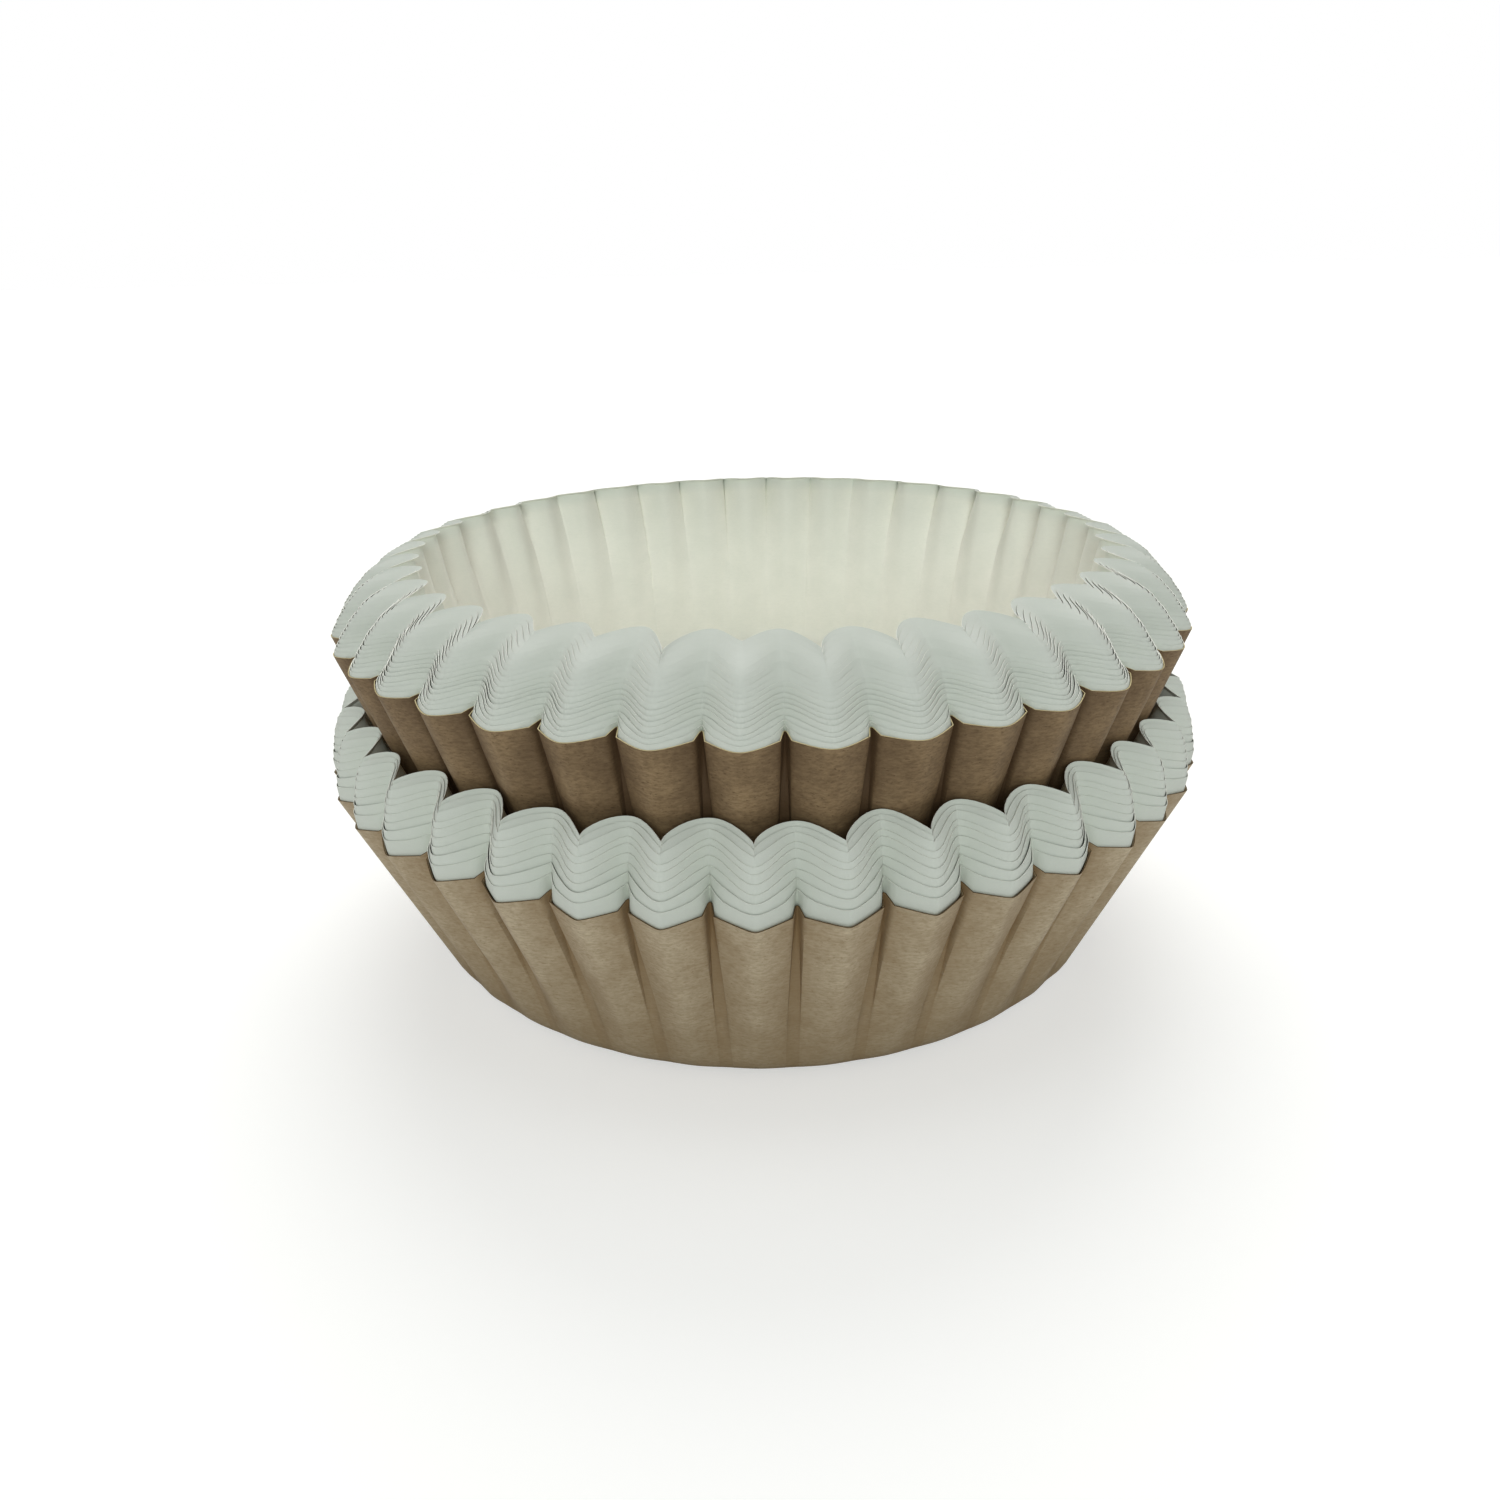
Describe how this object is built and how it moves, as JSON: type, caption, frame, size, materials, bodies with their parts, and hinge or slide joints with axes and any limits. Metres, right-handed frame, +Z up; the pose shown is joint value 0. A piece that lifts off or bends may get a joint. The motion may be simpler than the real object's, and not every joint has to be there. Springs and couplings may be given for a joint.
{
  "type": "stack of cupcake liners",
  "caption": "Two nested bundles of pleated paper baking cups, kraft-brown outside and white within, the upper bundle sitting in the mouth of the lower one.",
  "frame": {"origin": "centre of the stack's round floor, on the face it stands on", "axes": "+Z up, out of the cups' open mouths; an outward fold of the lower bundle points along -Y, the side the picture shows"},
  "size_m": [0.0872, 0.0872, 0.0389],
  "materials": {
    "kraft_paper": "unbleached brown greaseproof kraft, matt and faintly fibrous",
    "white_paper": "bleached greaseproof, matt and slightly see-through"
  },
  "bodies": {
    "root": {"lower_kraft_liner": "kraft_paper", "lower_white_liner_01": "white_paper", "lower_white_liner_02": "white_paper", "lower_white_liner_03": "white_paper", "lower_white_liner_04": "white_paper", "lower_white_liner_05": "white_paper", "lower_white_liner_06": "white_paper", "lower_white_liner_07": "white_paper", "lower_white_liner_08": "white_paper", "lower_white_liner_09": "white_paper", "upper_kraft_liner": "kraft_paper", "upper_white_liner_01": "white_paper", "upper_white_liner_02": "white_paper", "upper_white_liner_03": "white_paper", "upper_white_liner_04": "white_paper", "upper_white_liner_05": "white_paper", "upper_white_liner_06": "white_paper", "upper_white_liner_07": "white_paper", "upper_white_liner_08": "white_paper", "upper_white_liner_09": "white_paper", "upper_white_liner_10": "white_paper", "upper_white_liner_11": "white_paper", "upper_white_liner_12": "white_paper", "upper_white_liner_13": "white_paper", "upper_white_liner_14": "white_paper", "upper_white_liner_15": "white_paper", "upper_white_liner_16": "white_paper", "upper_white_liner_17": "white_paper", "upper_white_liner_18": "white_paper"}
  },
  "joints": []
}
